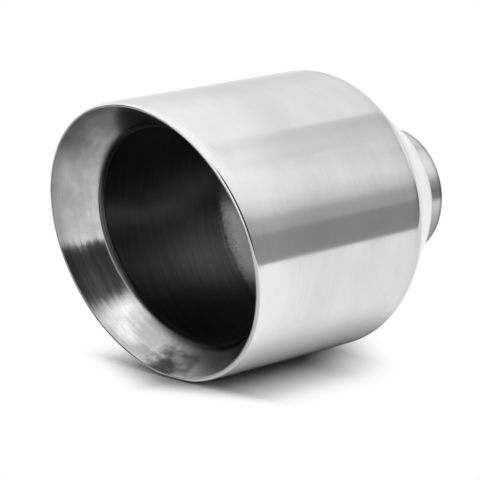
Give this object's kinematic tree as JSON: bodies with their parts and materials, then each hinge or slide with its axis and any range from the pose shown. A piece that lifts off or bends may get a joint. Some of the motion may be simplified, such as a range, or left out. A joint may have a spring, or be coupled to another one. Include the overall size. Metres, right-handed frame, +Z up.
{
  "type": "exhaust tip",
  "caption": "Slant-cut round exhaust tip in polished sheet steel, with a rolled inner ring in its mouth, a rear cone and a short inlet neck that joins a tailpipe.",
  "frame": {"origin": "centre of the neck's square-cut end, on the axis, where the tailpipe enters", "axes": "+Y along the axis out of the inlet, so the mouth faces -Y; +Z up, through the longer side of the slant; +X to the right seen from the mouth"},
  "size_m": [0.1016, 0.1381, 0.1016],
  "materials": {
    "shell": "polished",
    "ring": "polished",
    "neck": "mill"
  },
  "bodies": {
    "root": {"outer_shell": "shell", "mouth_ring": "ring", "inlet_neck": "neck"}
  },
  "joints": []
}
